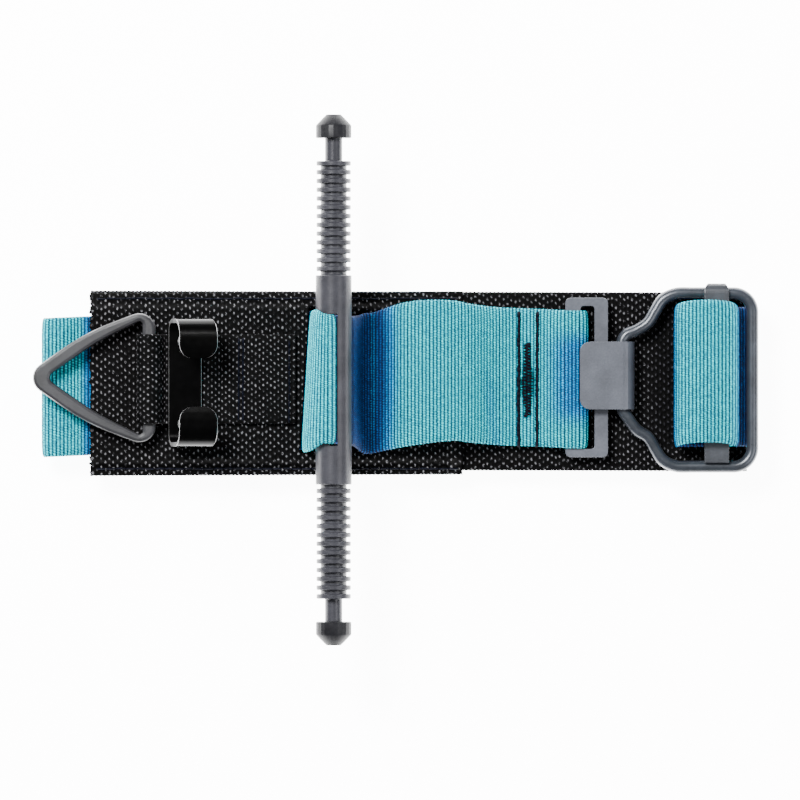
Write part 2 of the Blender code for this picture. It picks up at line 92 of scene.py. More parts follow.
# The buckle: the wire ring, and the arch of strap over its slider.
RING_Y, WIRE_Z, WIRE_RADIUS = 0.05, 12.65, 1.6
NECK_X, NECK_TOP, NECK_BOTTOM = 60.4, 10.2, -7.8
RAIL_Y, RING_RIGHT, RING_CORNER = 23.05, 95.0, 5.0
ARCH_X, ARCH_HALF, ARCH_FOOT_Z, ARCH_RISE = 82.75, 7.95, 14.6, 4.6


def add_object(name, data):
    piece = bpy.data.objects.new(name, data)
    bpy.context.scene.collection.objects.link(piece)
    return piece


# Camera, floor and light --------------------------------------------------------------------------

def make_camera():
    """Straight down over the part, from far enough that little of its sides shows."""
    data = bpy.data.cameras.new("camera")
    data.lens = 421.0
    data.sensor_width = 36.0
    data.clip_end = 10.0
    camera = add_object("camera", data)
    camera.location = (0.0013, -0.0053, 2.5)
    bpy.context.scene.camera = camera


def area_light(name, place, size, power):
    """A rectangular light that faces the origin."""
    data = bpy.data.lights.new(name, "AREA")
    data.shape = "RECTANGLE"
    data.size, data.size_y = size
    data.energy = power
    light = add_object(name, data)
    light.location = place
    light.rotation_euler = (-Vector(place)).to_track_quat("-Z", "Y").to_euler()


def make_lights():
    world = bpy.data.worlds.new("studio")
    world.use_nodes = True
    sky = world.node_tree.nodes["Background"]
    sky.inputs["Color"].default_value = (0.93, 0.96, 1.0, 1.0)
    sky.inputs["Strength"].default_value = 0.5
    bpy.context.scene.world = world
    area_light("key", (-0.35, 0.45, 0.95), (0.35, 0.35), 38.0)
    area_light("fill", (0.6, -0.2, 0.8), (0.6, 0.4), 6.0)


def make_floor():
    """A white floor, a little below the part."""
    half = 3.0
    mesh = bpy.data.meshes.new("floor")
    mesh.from_pydata(
        [(-half, -half, 0), (half, -half, 0), (half, half, 0), (-half, half, 0)], [], [(0, 1, 2, 3)]
    )
    floor = add_object("floor", mesh)
    floor.location.z = -0.0002
    paint = bpy.data.materials.new("floor")
    paint.use_nodes = True
    shader = paint.node_tree.nodes["Principled BSDF"]
    shader.inputs["Base Color"].default_value = (0.97, 0.97, 0.97, 1.0)
    shader.inputs["Roughness"].default_value = 0.9
    shader.inputs["Specular IOR Level"].default_value = 0.1
    shader.inputs["Emission Color"].default_value = (1.0, 1.0, 1.0, 1.0)
    shader.inputs["Emission Strength"].default_value = 11.0
    mesh.materials.append(paint)


# Materials ----------------------------------------------------------------------------------------

WHITE = (1.0, 1.0, 1.0)
UNSTRETCHED = (1.0, 1.0, 1.0)


class Shader:
    """A material being put together: node() adds a node and links or sets its inputs."""

    def __init__(self, name, roughness, metallic, specular):
        self.material = bpy.data.materials.new(name)
        self.material.use_nodes = True
        self.tree = self.material.node_tree
        self.surface = self.tree.nodes["Principled BSDF"]
        self.surface.inputs["Roughness"].default_value = roughness
        self.surface.inputs["Metallic"].default_value = metallic
        self.surface.inputs["Specular IOR Level"].default_value = specular

    def node(self, kind, inputs=(), **settings):
        made = self.tree.nodes.new(kind)
        for setting, value in settings.items():
            setattr(made, setting, value)
        for socket, value in dict(inputs).items():
            if isinstance(value, bpy.types.NodeSocket):
                self.tree.links.new(value, made.inputs[socket])
            else:
                made.inputs[socket].default_value = value
        return made

    def link(self, output, socket):
        self.tree.links.new(output, self.surface.inputs[socket])

    def noise(self, scale, detail=3.0, stretch=UNSTRETCHED):
        """Noise in object space, scale in lumps a metre."""
        place = self.node("ShaderNodeTexCoord").outputs["Object"]
        mapped = self.node("ShaderNodeMapping", {"Vector": place, "Scale": stretch}).outputs["Vector"]
        made = self.node("ShaderNodeTexNoise", {"Vector": mapped, "Scale": scale, "Detail": detail})
        return made.outputs["Fac"]

    def ramp(self, value, stops):
        made = self.node("ShaderNodeValToRGB", {"Fac": value})
        elements = made.color_ramp.elements
        while len(elements) < len(stops):
            elements.new(0.5)
        for element, (place, color) in zip(elements, stops):
            element.position = place
            element.color = (*color, 1.0)
        return made.outputs["Color"]

    def multiply(self, share, first, second):
        """The first colour, multiplied by the second as far as share says."""
        made = self.node("ShaderNodeMix", data_type="RGBA", blend_type="MULTIPLY")
        made.inputs[0].default_value = share
        self.tree.links.new(first, made.inputs[6])
        self.tree.links.new(second, made.inputs[7])
        return made.outputs[2]

    def bump(self, height, strength, distance):
        inputs = {"Height": height, "Strength": strength, "Distance": distance}
        self.link(self.node("ShaderNodeBump", inputs).outputs["Normal"], "Normal")

    def between(self, value, low, high):
        made = self.node("ShaderNodeMapRange", {"Value": value, "To Min": low, "To Max": high})
        return made.outputs["Result"]


def cloth_material(name, colors, shade, roughness, fibre, specular):
    """Woven webbing: painted shade between the yarns and where it lies deep, painted highlight on crests.

    colors holds the stops from the bottom of the weave to its crests, painted shade up to painted
    highlight, and the shade stops are those of the painted shade that multiplies them. fibre is how
    many fibres there are to a metre.
    """
    shader = Shader(name, roughness, 0.0, specular)
    weave = shader.node("ShaderNodeAttribute", attribute_name="weave")
    parts = shader.node("ShaderNodeSeparateXYZ", {"Vector": weave.outputs["Vector"]})
    # Painted shade in the grooves and painted highlight on the crests, by weave height.
    yarn_with_painted_light = shader.ramp(parts.outputs["X"], colors)
    speckle = shader.ramp(shader.noise(fibre, 2.0), [(0.32, (0.4, 0.4, 0.4)), (0.62, WHITE)])
    mottled = shader.multiply(0.8, yarn_with_painted_light, speckle)
    # Painted shade: the stored shade, from 0 to 1, multiplies the colour towards the darker stops.
    painted_shade_tint = shader.ramp(parts.outputs["Y"], [(0.0, WHITE), *shade])
    shader.link(shader.multiply(1.0, mottled, painted_shade_tint), "Base Color")
    shader.bump(shader.noise(fibre * 1.6, 2.0), 0.5, 0.00012)
    return shader.material


def thread_material():
    shader = Shader("black_thread", 0.6, 0.0, 0.08)
    blacks = [(0.3, (0.0, 0.0003, 0.0015)), (0.8, (0.002, 0.003, 0.010))]
    shader.link(shader.ramp(shader.noise(2500.0), blacks), "Base Color")
    shader.bump(shader.noise(5000.0), 0.4, 0.0001)
    return shader.material


def coated_material(name, low, high, roughness, metallic, grain, specular=0.5, stretch=UNSTRETCHED,
                    bump=0.25):
    """Coated metal or moulded plastic: mottled from low to high, with a fine orange peel."""
    shader = Shader(name, roughness, metallic, specular)
    mottle = shader.noise(140.0, 4.0)
    fine = shader.noise(grain, 3.0, stretch)
    color = shader.ramp(mottle, [(0.3, low), (0.7, high)])
    peel = shader.ramp(fine, [(0.3, (0.55, 0.55, 0.55)), (0.7, WHITE)])
    shader.link(shader.multiply(0.35, color, peel), "Base Color")
    shader.link(shader.between(fine, roughness * 0.8, roughness * 1.25), "Roughness")
    shader.bump(fine, bump, 0.00006)
    return shader.material


def make_materials():
    return {
        # Webbing stops: the near-black grooves are painted shade and the bright crests painted highlight;
        # the last list is the painted shade tint.
        "blue": cloth_material(
            "blue_webbing",
            [(0.17, (0.0, 0.008, 0.026)), (0.5, (0.0, 0.2, 0.27)), (0.84, (0.0, 0.88, 0.91))],
            [(0.5, (0.3, 0.42, 0.85)), (1.0, (0.04, 0.08, 0.28))],
            roughness=0.75, fibre=3800.0, specular=0.1,
        ),
        "black": cloth_material(
            "black_webbing",
            [(0.3, (0.0, 0.0, 0.0)), (0.5, (0.004, 0.004, 0.0045)), (0.85, (0.15, 0.15, 0.158))],
            [(1.0, (0.1, 0.1, 0.13))],
            roughness=0.7, fibre=3300.0, specular=0.05,
        ),
        "thread": thread_material(),
        "rod": coated_material(
            "anodised_aluminium", (0.018, 0.018, 0.022), (0.036, 0.036, 0.043),
            roughness=0.33, metallic=0.1, grain=900.0, specular=0.2, stretch=(1.0, 6.0, 1.0),
        ),
        # Painted shade: the rod's heads are coloured darker than its barrel.
        "rod_head_painted_shade": coated_material(
            "heads_painted_shade", (0.004, 0.004, 0.005), (0.011, 0.011, 0.013),
            roughness=0.4, metallic=0.0, grain=900.0, specular=0.12,
        ),
        "plastic": coated_material(
            "moulded_plastic", (0.009, 0.009, 0.01), (0.02, 0.02, 0.023),
            roughness=0.4, metallic=0.0, grain=3200.0, specular=0.35, bump=0.5,
        ),
        "black_steel": coated_material(
            "black_steel", (0.0, 0.0, 0.0), (0.0006, 0.0006, 0.0006),
            roughness=0.22, metallic=0.0, grain=700.0, specular=0.05, bump=0.05,
        ),
        # Bright metal: the rivets' colour, and the painted highlight on the clip's cut edges.
        "metal_and_highlight": coated_material(
            "metal_and_painted_highlight", (0.15, 0.15, 0.15), (0.3, 0.3, 0.3),
            roughness=0.4, metallic=0.7, grain=1500.0,
        ),
        "steel": coated_material(
            "grey_steel", (0.041, 0.045, 0.056), (0.07, 0.076, 0.094),
            roughness=0.4, metallic=0.3, grain=2200.0, bump=0.5,
        ),
        "dark_steel": coated_material(
            "dark_steel", (0.017, 0.019, 0.023), (0.035, 0.038, 0.046),
            roughness=0.35, metallic=0.3, grain=2200.0,
        ),
        "wire": coated_material(
            "wire_steel", (0.018, 0.021, 0.026), (0.038, 0.044, 0.055),
            roughness=0.3, metallic=0.4, grain=1600.0, bump=0.08,
        ),
    }


# Webbing ------------------------------------------------------------------------------------------
# rib is the distance between ribs and bead the distance between beads on one. beading says how deep the
# gaps between beads are, uneven how much the beads vary, slip how far a rib's beads are shifted by
# chance, and height how far the weave stands out.

BLUE_WEAVE = {
    "rib": 0.95, "bead": 0.66, "beading": 0.45, "uneven": 0.35, "slip": 0.15, "height": 0.24,
    "thickness": STRAP, "slot": "blue_webbing",
}
BLACK_WEAVE = {
    "rib": 1.07, "bead": 1.97, "beading": 0.85, "uneven": 0.55, "slip": 0.8, "height": 0.42,
    "thickness": 1.5, "slot": "black_webbing",
}
KEEPER_WEAVE = {
    "rib": 1.0, "bead": 1.7, "beading": 0.8, "uneven": 0.55, "slip": 0.6, "height": 0.34,
    "thickness": 1.0, "slot": "black_webbing",
}
BAND_STEP = (0.24, 0.32)
HIDDEN_STEP = (0.6, 0.6)


def arc(center, radius, first, last, count):
    """Points round the centre, from the first angle to the last, in degrees."""
    x, y = center
    angles = [math.radians(first + (last - first) * step / count) for step in range(count + 1)]
    return [(x + radius * math.cos(angle), y + radius * math.sin(angle)) for angle in angles]


def spline(points, per_span=8):
    """A Catmull-Rom curve through the points."""
    guide = [points[0], *points, points[-1]]
    result = []
    for a, b, c, d in zip(guide, guide[1:], guide[2:], guide[3:]):
        for step in range(per_span):
            t = step / per_span
            result.append(tuple(
                0.5 * (2 * q + (r - p) * t + (2 * p - 5 * q + 4 * r - s) * t**2
                       + (3 * q - p - 3 * r + s) * t**3)
                for p, q, r, s in zip(a, b, c, d)
            ))
    return result + [points[-1]]


def smooth_step(value, low, high):
    share = np.clip((value - low) / (high - low), 0, 1)
    return share * share * (3 - 2 * share)


def even_route(points, step, rounding):
    """The route with a point at every step along it, and its corners eased over about rounding."""
    points = np.array(points, float)
    length = np.concatenate([[0], np.cumsum(np.linalg.norm(np.diff(points, axis=0), axis=1))])
    count = max(int(round(length[-1] / step)), 8)
    places = np.linspace(0, length[-1], count + 1)
    route = np.stack([np.interp(places, length, points[:, axis]) for axis in (0, 1)], axis=1)
    for _ in range(int(2 * (rounding / step) ** 2)):
        route[1:-1] = (route[:-2] + 2 * route[1:-1] + route[2:]) / 4
    return route, length[-1]


def weave_height(weave, width, along, across, chance):
    """The weave's height at each point, from 0 between the yarns to 1 on a bead."""
    row = np.floor(along / weave["rib"])
    rib = np.abs(np.sin(math.pi * along / weave["rib"])) ** 0.8
    slip = weave["slip"] * chance.uniform(-1, 1, int(row[-1, 0]) + 1)[row.astype(int)]
    wander = slip + (0.35 + 0.5 * weave["slip"]) * np.sin(across * 9 + row * 1.7)
    phase = 2 * math.pi * across * width / 2 / weave["bead"]
    beads = 0.5 + 0.5 * np.cos(phase + math.pi * row + wander)
    uneven = chance.uniform(1 - weave["uneven"], 1.08, (len(along), across.shape[1]))
    return np.clip(rib * (1 - weave["beading"] + weave["beading"] * beads) * uneven, 0, 1)


def frayed(along, columns, ragged, chance):
    """How far each point is pulled along the strap, near the cut start and end."""
    pull = np.zeros((len(along), columns))
    for end, reach in ((0, ragged[0]), (-1, ragged[1])):
        if reach:
            fray = chance.uniform(0, reach, columns)
            near = np.exp(-np.abs(along - along[end]) / 0.8)
            pull += near * fray[None, :] * (-1 if end == 0 else 1)
    return pull


def in_slit(x, y, slit):
    low_x, high_x, low_y, high_y, lean = slit
    upright = x - lean * y
    return (upright > low_x) & (upright < high_x) & (y > low_y) & (y < high_y)


def slit_walls(kept, top, bottom):
    """The faces that join top and bottom round the cells that a slit leaves out."""
    walls = []
    for i, j in np.argwhere(~kept).tolist():
        sides = (
            ((i - 1, j), (i, j), (i, j + 1)), ((i + 1, j), (i + 1, j + 1), (i + 1, j)),
            ((i, j - 1), (i + 1, j), (i, j)), ((i, j + 1), (i, j + 1), (i + 1, j + 1)),
        )
        for neighbour, first, last in sides:
            if kept[neighbour]:
                walls.append([int(v) for v in (top[first], top[last], bottom[last], bottom[first])])
    return walls


def cloth_faces(rows, columns, kept):
    """The faces of a closed sheet: its top and bottom, the walls of a slit, and the two cut ends."""
    top = np.arange(rows * columns).reshape(rows, columns)
    bottom = top + rows * columns
    bottom[:, 0] = top[:, 0]
    bottom[:, -1] = top[:, -1]

    def quads(grid):
        corners = [grid[:-1, :-1], grid[1:, :-1], grid[1:, 1:], grid[:-1, 1:]]
        return np.stack([corner[kept] for corner in corners], axis=1)

    faces = np.concatenate([quads(top)[:, ::-1], quads(bottom)]).tolist()
    faces += slit_walls(kept, top, bottom)
    for end, turned in ((0, False), (-1, True)):
        for j in range(columns - 1):
            ring = [top[end, j], top[end, j + 1], bottom[end, j + 1], bottom[end, j]]
            ring = [int(v) for k, v in enumerate(ring) if v not in ring[:k]]
            faces.append(ring[::-1] if turned else ring)
    return faces


def cloth_mesh(name, points, faces, data):
    """The mesh, with each point's weave height and painted shade stored on it, and no loose points."""
    mesh = bpy.data.meshes.new(name)
    mesh.from_pydata(points.tolist(), [], faces)
    stored = mesh.attributes.new("weave", "FLOAT_VECTOR", "POINT")
    stored.data.foreach_set("vector", np.concatenate([data, data]).astype(np.float32).ravel())
    builder = bmesh.new()
    builder.from_mesh(mesh)
    loose = [vert for vert in builder.verts if not vert.link_faces]
    bmesh.ops.delete(builder, geom=loose, context="VERTS")
    builder.to_mesh(mesh)
    builder.free()
    mesh.shade_smooth()
    return mesh


def webbing(name, route, width, weave, paint, y_of, body, held, stands_for=(), step=(0.21, 0.3),
            shade_of=None, lift_of=None, sway_of=None, spread_of=None, slit=None, ragged=(0.0, 0.0),
            rounding=0.8):
    """A woven strap along an (x, z) route: ribs run across it and each is a row of beads.

    y_of gives the strap's middle at each x. The shade argument, from 0 to 1, is painted shade that
    darkens the colour of deep stretches. lift_of moves points along Z, sway_of along X, and spread_of
    is the share of the width that shows at each place. ragged is how far the yarns stand out at the cut
    start and end. stands_for names the CAD nodes that the strap replaces. A strap without a body is
    attached to none, and its caller bakes its transform into its mesh.
    """
    line, length = even_route(route, step[0], rounding)
    rows = len(line)
    columns = int(round(width / step[1])) + 1
    chance = np.random.RandomState(len(name) * 7 + rows)
    along = np.linspace(0, length, rows)[:, None]
    across = np.linspace(-1, 1, columns)[None, :]
    tangent = np.gradient(line, axis=0)
    tangent /= np.linalg.norm(tangent, axis=1)[:, None]
    line_x, line_z = line[:, :1], line[:, 1:]
    tangent_x, tangent_z = tangent[:, :1], tangent[:, 1:]

    height = weave_height(weave, width, along, across, chance)
    scallop = 0.07 * weave["rib"] * np.sin(2 * math.pi * along / weave["rib"]) * np.abs(across) ** 12
    spread = spread_of(line_x) if spread_of else 1.0
    y = y_of(line_x) + across * (width / 2 + scallop) * spread
    pull = frayed(along, columns, ragged, chance)
    lift = lift_of(line_x, y) if lift_of else 0.0
    sway = sway_of(line_x, line_z, y) if sway_of else 0.0
    edge = np.sqrt(1 - np.abs(across) ** 14)
    half = weave["thickness"] / 2 * edge + weave["height"] * (height - 0.75) * edge
    sides = []
    for offset in (half, -half):
        x = line_x - tangent_z * offset + tangent_x * pull + sway
        z = line_z + tangent_x * offset + tangent_z * pull + lift
        sides.append(np.stack([x, y, z], axis=2).reshape(-1, 3))

    kept = np.ones((rows - 1, columns - 1), bool)
    if slit:
        kept = ~in_slit(line_x[:-1], y[:-1, :-1], slit)
    # Painted shade, from 0 to 1, stored on each point beside its weave height.
    shade = shade_of(line_x, line_z, y) if shade_of else 0.0
    shade = np.broadcast_to(shade, height.shape)
    data = np.stack([height, shade, np.zeros(height.shape)], axis=2).reshape(-1, 3)
    mesh = cloth_mesh(name, np.concatenate(sides) * MM, cloth_faces(rows, columns, kept), data)
    mesh.materials.append(paint)
    piece = add_object(name, mesh)
    if body:
        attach(piece, body)
    if stands_for:
        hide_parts(*stands_for)
    return piece


# The long strap -----------------------------------------------------------------------------------

def strap_middle(x):
    """The long strap drifts slowly across the bands from left to right."""
    return np.interp(x, [-93, -82, -60, -20, 40, 90], [-2.0, -1.5, -0.5, 0.0, 0.3, 0.9])


def strap(name, route, paint, body, y_of=strap_middle, width=STRAP_WIDTH, **shape):
    return webbing(name, route, width, BLUE_WEAVE, paint, y_of, body, "folded", **shape)


# Painted shade over the whole piece.
def painted_shade_throughout(x, z, y):
    return 1.0


def leg_lean(y):
    """How far the strap stands to the right where it rises out of the leaning slit."""
    return LEAN * (y + 18.5) - 0.3


def make_left_run(paint):
    """From the slit through the sleeve and round the fold at the left end."""
    bend = 1.3
    out_of_slit = [(LEG_X, 11.9), *arc((LEG_X - bend, SLEEVE_Z + bend), bend, 0, -90, 5)]
    sleeve = [(x, SLEEVE_Z) for x in (-30.0, -45.0, -60.0, -75.0)]
    left_fold = spline([
        (-80.0, SLEEVE_Z), (-84.5, 10.0), (-88.7, 11.2), (-92.6, 10.4),
        (-93.6, 8.2), (-92.0, 6.3), (-87.5, FIRST_Z), (-82.0, FIRST_Z),
    ])

    # Painted shade on the strap inside the sleeve between the bands, fading out round the left fold.
    def painted_shade_in_the_sleeve(x, z, y):
        return 0.85 * smooth_step(x, -84.5, -80.5)

    def leaning(x, z, y):
        return leg_lean(y) * smooth_step(x, -32.0, -24.5)

    strap("strap_left_run", out_of_slit + sleeve + left_fold, paint, "root", step=(0.21, 0.35),
          shade_of=painted_shade_in_the_sleeve, sway_of=leaning, stands_for=["strap_return_run"])


def make_first_layer(paint):
    """Under the bands from the left fold, and round their right end."""
    fold = arc((FOLD_X, BAND_Z), SLEEVE_Z - BAND_Z, -90, 90, 12)
    route = [(-82.0, FIRST_Z), (0.0, FIRST_Z), (84.0, FIRST_Z), *fold, (86.0, SLEEVE_Z)]
    strap("strap_first_layer", route, paint, "root", step=HIDDEN_STEP, stands_for=["strap_return_run"])


def outer_fold():
    """The strap's outer turn round the right end of the bands, from its upper side downwards."""
    return arc((FOLD_X, BAND_Z), BAND_Z - SECOND_Z, 20, -90, 12)


def make_risers(paint):
    """The strap on its way up to the slider, on the slider's left, and down again on its right."""
    route = [(86.0, SLEEVE_Z), (79.5, SLEEVE_Z), (76.2, 10.2), (74.9, 11.6), (74.8, RISER_TOP)]
    inner = strap("strap_inner_riser", spline(route), paint, None, shade_of=painted_shade_throughout)
    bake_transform(inner)
    route = [(90.75, RISER_TOP), (91.9, 11.4), (93.8, 10.4), *outer_fold()[:10]]
    outer = strap("strap_outer_riser", spline(route), paint, None, shade_of=painted_shade_throughout)
    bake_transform(outer)


def make_slider_wrap(paint):
    """The arch of strap over the slider bar."""
    steps = 24
    arch = [(ARCH_X - ARCH_HALF, RISER_TOP)]
    for step in range(steps + 1):
        angle = math.pi * (1 - step / steps)
        reach = math.copysign(abs(math.cos(angle)) ** 0.8, math.cos(angle))
        arch.append((ARCH_X + ARCH_HALF * reach, ARCH_FOOT_Z + ARCH_RISE * math.sin(angle) ** 0.9))
    arch.append((ARCH_X + ARCH_HALF, RISER_TOP))

    # Painted shade low on the arch's sides, where they go down.
    def painted_shade_low_on_the_arch(x, z, y):
        return 0.8 * (1 - smooth_step(z, 13.0, 18.0))

    def crowned(x):
        return 0.9 + 1.5 * np.clip(1 - ((x - ARCH_X) / ARCH_HALF) ** 2, 0, 1) ** 0.5

    wrap = strap("strap_slider_wrap", arch, paint, None, y_of=crowned, width=STRAP_WIDTH + 0.8,
                 shade_of=painted_shade_low_on_the_arch, stands_for=["strap_slider_loop"])
    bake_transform(wrap)


def make_tail(paint):
    """The rest of the strap, folded to and fro under the bands."""
    along = (60.0, 0.0, -60.0)
    route = outer_fold()[9:] + [(x, SECOND_Z) for x in along]
    route += arc((-87.0, (SECOND_Z + THIRD_Z) / 2), PITCH / 2, 90, 270, 8)
    route += [(x, THIRD_Z) for x in reversed(along)]
    route += arc((86.0, (THIRD_Z + TAIL_Z) / 2), PITCH / 2, 90, -90, 8)
    route += [(x, TAIL_Z) for x in along]
    strap("strap_tail", route, paint, "root", step=HIDDEN_STEP, rounding=0.3, ragged=(0.0, 0.3),
          stands_for=["strap_tail_run"])


def bulge_middle(x):
    """The raised bulge beside the rod sits further up in y than the valley and the flat stretch do."""
    drift = np.array(spline([
        (-10.0, -1.1), (-6.5, -0.9), (1.3, 1.2), (8.0, 2.2), (15.5, 2.5), (20.0, 1.8), (28.0, 1.0),
        (38.5, 0.6), (46.5, 0.2), (51.0, 0.2),
    ]))
    return np.interp(x, drift[:, 0], drift[:, 1])


def make_front(paint):
    """The strap's sewn end: round the slotted plate, back over itself, and over a bulge to the valley."""
    under_plate = [(29.5, SLEEVE_Z), (40.0, SLEEVE_Z)]
    around_bar = arc((48.9, 11.5), 2.0, -90, 90, 10)
    over = spline([
        (44.6, 13.5), (39.5, 11.6), (35.0, FRONT_Z), (31.0, FRONT_Z), (25.5, 12.9), (19.5, 16.4),
        (12.0, 18.9), (4.0, 18.5), (-2.4, 15.2), VALLEY,
    ])

    # Painted shade: deep in the valley beside the rod, bluer towards the hook, and a faint dark line
    # where the strap creases.
    def painted_shade_in_the_valley(x, z, y):
        valley = np.exp(-((x + 3.6 + 0.03 * (y - 3) ** 2 / 12) / 3.6) ** 2)
        shade_by_the_hook = 0.6 * smooth_step(x, 37.5, 48.0) * (1 - smooth_step(np.abs(y - 0.5), 7.0, 15.0))
        crease_shade = 0.16 * np.exp(-((x - 24.5 + 0.12 * y) / 1.8) ** 2) * (1 - smooth_step(y, -6.0, 6.0))
        return np.clip(valley + shade_by_the_hook + crease_shade, 0, 1)

    def fuller(x):
        """The raised bulge is arched across its width too, and shows wider."""
        return 1 + 0.045 * np.exp(-((x - 4.0) / 11.0) ** 2)

    strap("strap_front", under_plate + around_bar + over, paint, "root", y_of=bulge_middle,
          width=STRAP_WIDTH - 0.4, step=(0.21, 0.22), shade_of=painted_shade_in_the_valley, spread_of=fuller,
          stands_for=["strap_front_run"])


def make_windlass_wrap(paint):
    """From the slit up over the rod, down through its slot, and on to the valley."""
    left_leg = [(LEG_X, 11.9), (LEG_X, 26.4), (LEG_X, 29.0)]
    steps, bend_x, bend_z = 12, -17.45, 31.0
    reach_x, reach_z = 6.25, 7.25
    over_rod = []
    for step in range(steps + 1):
        angle = math.pi - math.pi / 2 * step / steps
        over_rod.append((bend_x + reach_x * math.cos(angle), bend_z + reach_z * math.sin(angle)))
    lip = 1.25
    into = arc((ROD_X - lip, 37.0), lip, 72, 0, 4)
    out = arc((ROD_X + lip, 27.7), lip, 180, 270, 5)
    right_leg = spline([(-13.2, 26.4), (-11.4, 25.2), (-10.6, 20.6), (-9.3, 15.6), VALLEY])

    # Painted shade under the rod, deeper the lower the strap lies.
    def painted_shade_under_rod(x, z, y):
        return np.where(x > -17.0, smooth_step(38.0 - z, 0.0, 9.0), 0.0)

    def leaning(x, z, y):
        """The left leg leans in towards the rod at its upper end."""
        return leg_lean(y) * np.clip((bend_x - x) / reach_x, 0, 1)

    def gathered(x):
        """The webbing bunches up where it goes over the rod and into its slot."""
        return 1 - 0.09 * smooth_step(x, -22.5, -18.5) * (1 - smooth_step(x, -12.0, -7.5))

    def loop_middle(x):
        return np.interp(x, [-24, -19, -12, -9, -6], [-0.4, 0.3, 0.0, -0.9, -0.9])

    loop = strap("strap_windlass_wrap", left_leg + over_rod + into + out + right_leg, paint, None,
                 y_of=loop_middle, width=STRAP_WIDTH + 0.4, rounding=0.45, shade_of=painted_shade_under_rod,
                 sway_of=leaning, spread_of=gathered, stands_for=["strap_windlass_loop"])
    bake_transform(loop)


# The bands and the keeper -------------------------------------------------------------------------

def side_drop(y):
    """How far the cover's long sides lie below its middle, down on the base band that holds them."""
    return 1.75 * smooth_step(np.abs(y + 0.9), 19.6, 22.6)


def make_bands(paint):
    def base_middle(x):
        return -0.2 - 0.003 * x

    # Painted shade: the whole base band a little darker, and much darker inside the ring between the hook
    # and the slider.
    def painted_shade_in_the_ring(x, z, y):
        return 0.22 + 0.6 * smooth_step(x, 64.0, 72.0) * (1 - smooth_step(np.abs(y), 17.0, 20.0))

    webbing("band_base", [(BAND_LEFT, BAND_Z), (FOLD_X + 1.25, BAND_Z)], BASE_WIDTH, BLACK_WEAVE, paint,
            base_middle, "root", "laid", step=BAND_STEP, shade_of=painted_shade_in_the_ring, ragged=(0.5, 0.1),
            rounding=0.0, stands_for=["base_band"])

    def cover_middle(x):
        return -0.8 + 0.004 * x

    def sewn_down(x, y):
        """The cover's long sides and right end drop to the base band, where they are sewn to it."""
        return -side_drop(y) - 1.4 * smooth_step(x, 13.5, 17.5)

    webbing("band_cover", [(BAND_LEFT, COVER_Z), (COVER_RIGHT, COVER_Z)], COVER_WIDTH, BLACK_WEAVE,
            paint, cover_middle, "root", "laid", step=BAND_STEP, lift_of=sewn_down, slit=SLIT,
            ragged=(0.7, 0.3), rounding=0.0, stands_for=["cover_band"])


def make_keeper(paint):
    """From under the clip, round the locking ring's bar, and back over itself to the slit."""
    low, high = COVER_TOP + 0.85, COVER_TOP + 2.25
    bar_x, bar_z = -65.3, 16.0
    loop = arc((bar_x, bar_z), bar_z - low, -90, -325, 24)
    down = spline(
        [(-62.15, 15.9), (-61.3, 14.7), (-59.8, high), (-54.0, high), (-50.0, high), (-46.4, low)], 3
    )
    route = [(-50.9, low), (-58.0, low), *loop, *down, (-38.0, low), (-26.6, low)]

    def keeper_middle(x):
        return np.full(x.shape, 0.25)

    webbing("band_keeper", route, KEEPER_WIDTH, KEEPER_WEAVE, paint, keeper_middle, "root", "folded",
            step=(0.28, 0.28), rounding=0.3, ragged=(0.0, 0.3), stands_for=["keeper_strap"])


# Stitching ----------------------------------------------------------------------------------------

def thread_piece(name, runs, radius, paint, node):
    """Several lengths of thread, each a list of (x, y, z) points, as one curve."""
    curve = bpy.data.curves.new(name, "CURVE")
    curve.dimensions = "3D"
    curve.bevel_depth = radius * MM
    curve.bevel_resolution = 2
    curve.use_fill_caps = True
    for run in runs:
        line = curve.splines.new("POLY")
        line.points.add(len(run) - 1)
        for point, place in zip(line.points, run):
            point.co = (*(value * MM for value in place), 1.0)
        line.use_smooth = True
    curve.materials.append(paint)
    piece = add_object(name, curve)
    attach(piece, "root")
    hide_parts(node)


def stitches(start, end, pitch, top, chance, stray=0.12):
    """A row of stitches from start to end: each rises out of the cloth and dives back into it."""
    start, end = np.array(start, float), np.array(end, float)
    distance = np.linalg.norm(end - start)
    direction = (end - start) / distance
    runs = []
    for i in range(int(distance / pitch)):
        middle = start + direction * pitch * (i + 0.5)
        side = np.array([-direction[1], direction[0]]) * chance.uniform(-stray, stray)
        run = []
        for share, height in ((-0.46, -0.55), (-0.36, 0.02), (0.0, 0.16), (0.36, 0.02), (0.46, -0.55)):
            x, y = middle + direction * pitch * share + side * (1 - abs(share))
            run.append((x, y, top(x, y) + height))
        runs.append(run)
    return runs


# The height of the cloth under the stitches, at each place.

def on_front(x, y):
    return FRONT_Z + STRAP / 2 - 0.02 + 0.25 * smooth_step(x, 36.0, 39.5)


def on_cover(x, y):
    return COVER_TOP - 0.2 - side_drop(y)


def on_keeper(x, y):
    return COVER_TOP + 1.3


def bartack(chance):
    """Threads that zigzag across the strap between its two seams, widest near the middle."""
    middle_x, low_y, length, count, layers = 35.15, -9.6, 19.4, 45, 6
    runs = []
    for layer in range(layers):
        run = []
        for step in range(count + 1):
            y = low_y + length * step / count
            swing = 1.5 * (1 if step % 2 else -1) * (0.35 + 0.65 * math.exp(-((y + 1.0) / 5.0) ** 2))
            x = middle_x + swing + chance.uniform(-0.35, 0.35)
            run.append((x, y + chance.uniform(-0.3, 0.3), on_front(x, y) + 0.2 + 0.07 * layer))
        runs.append(run)
    return runs


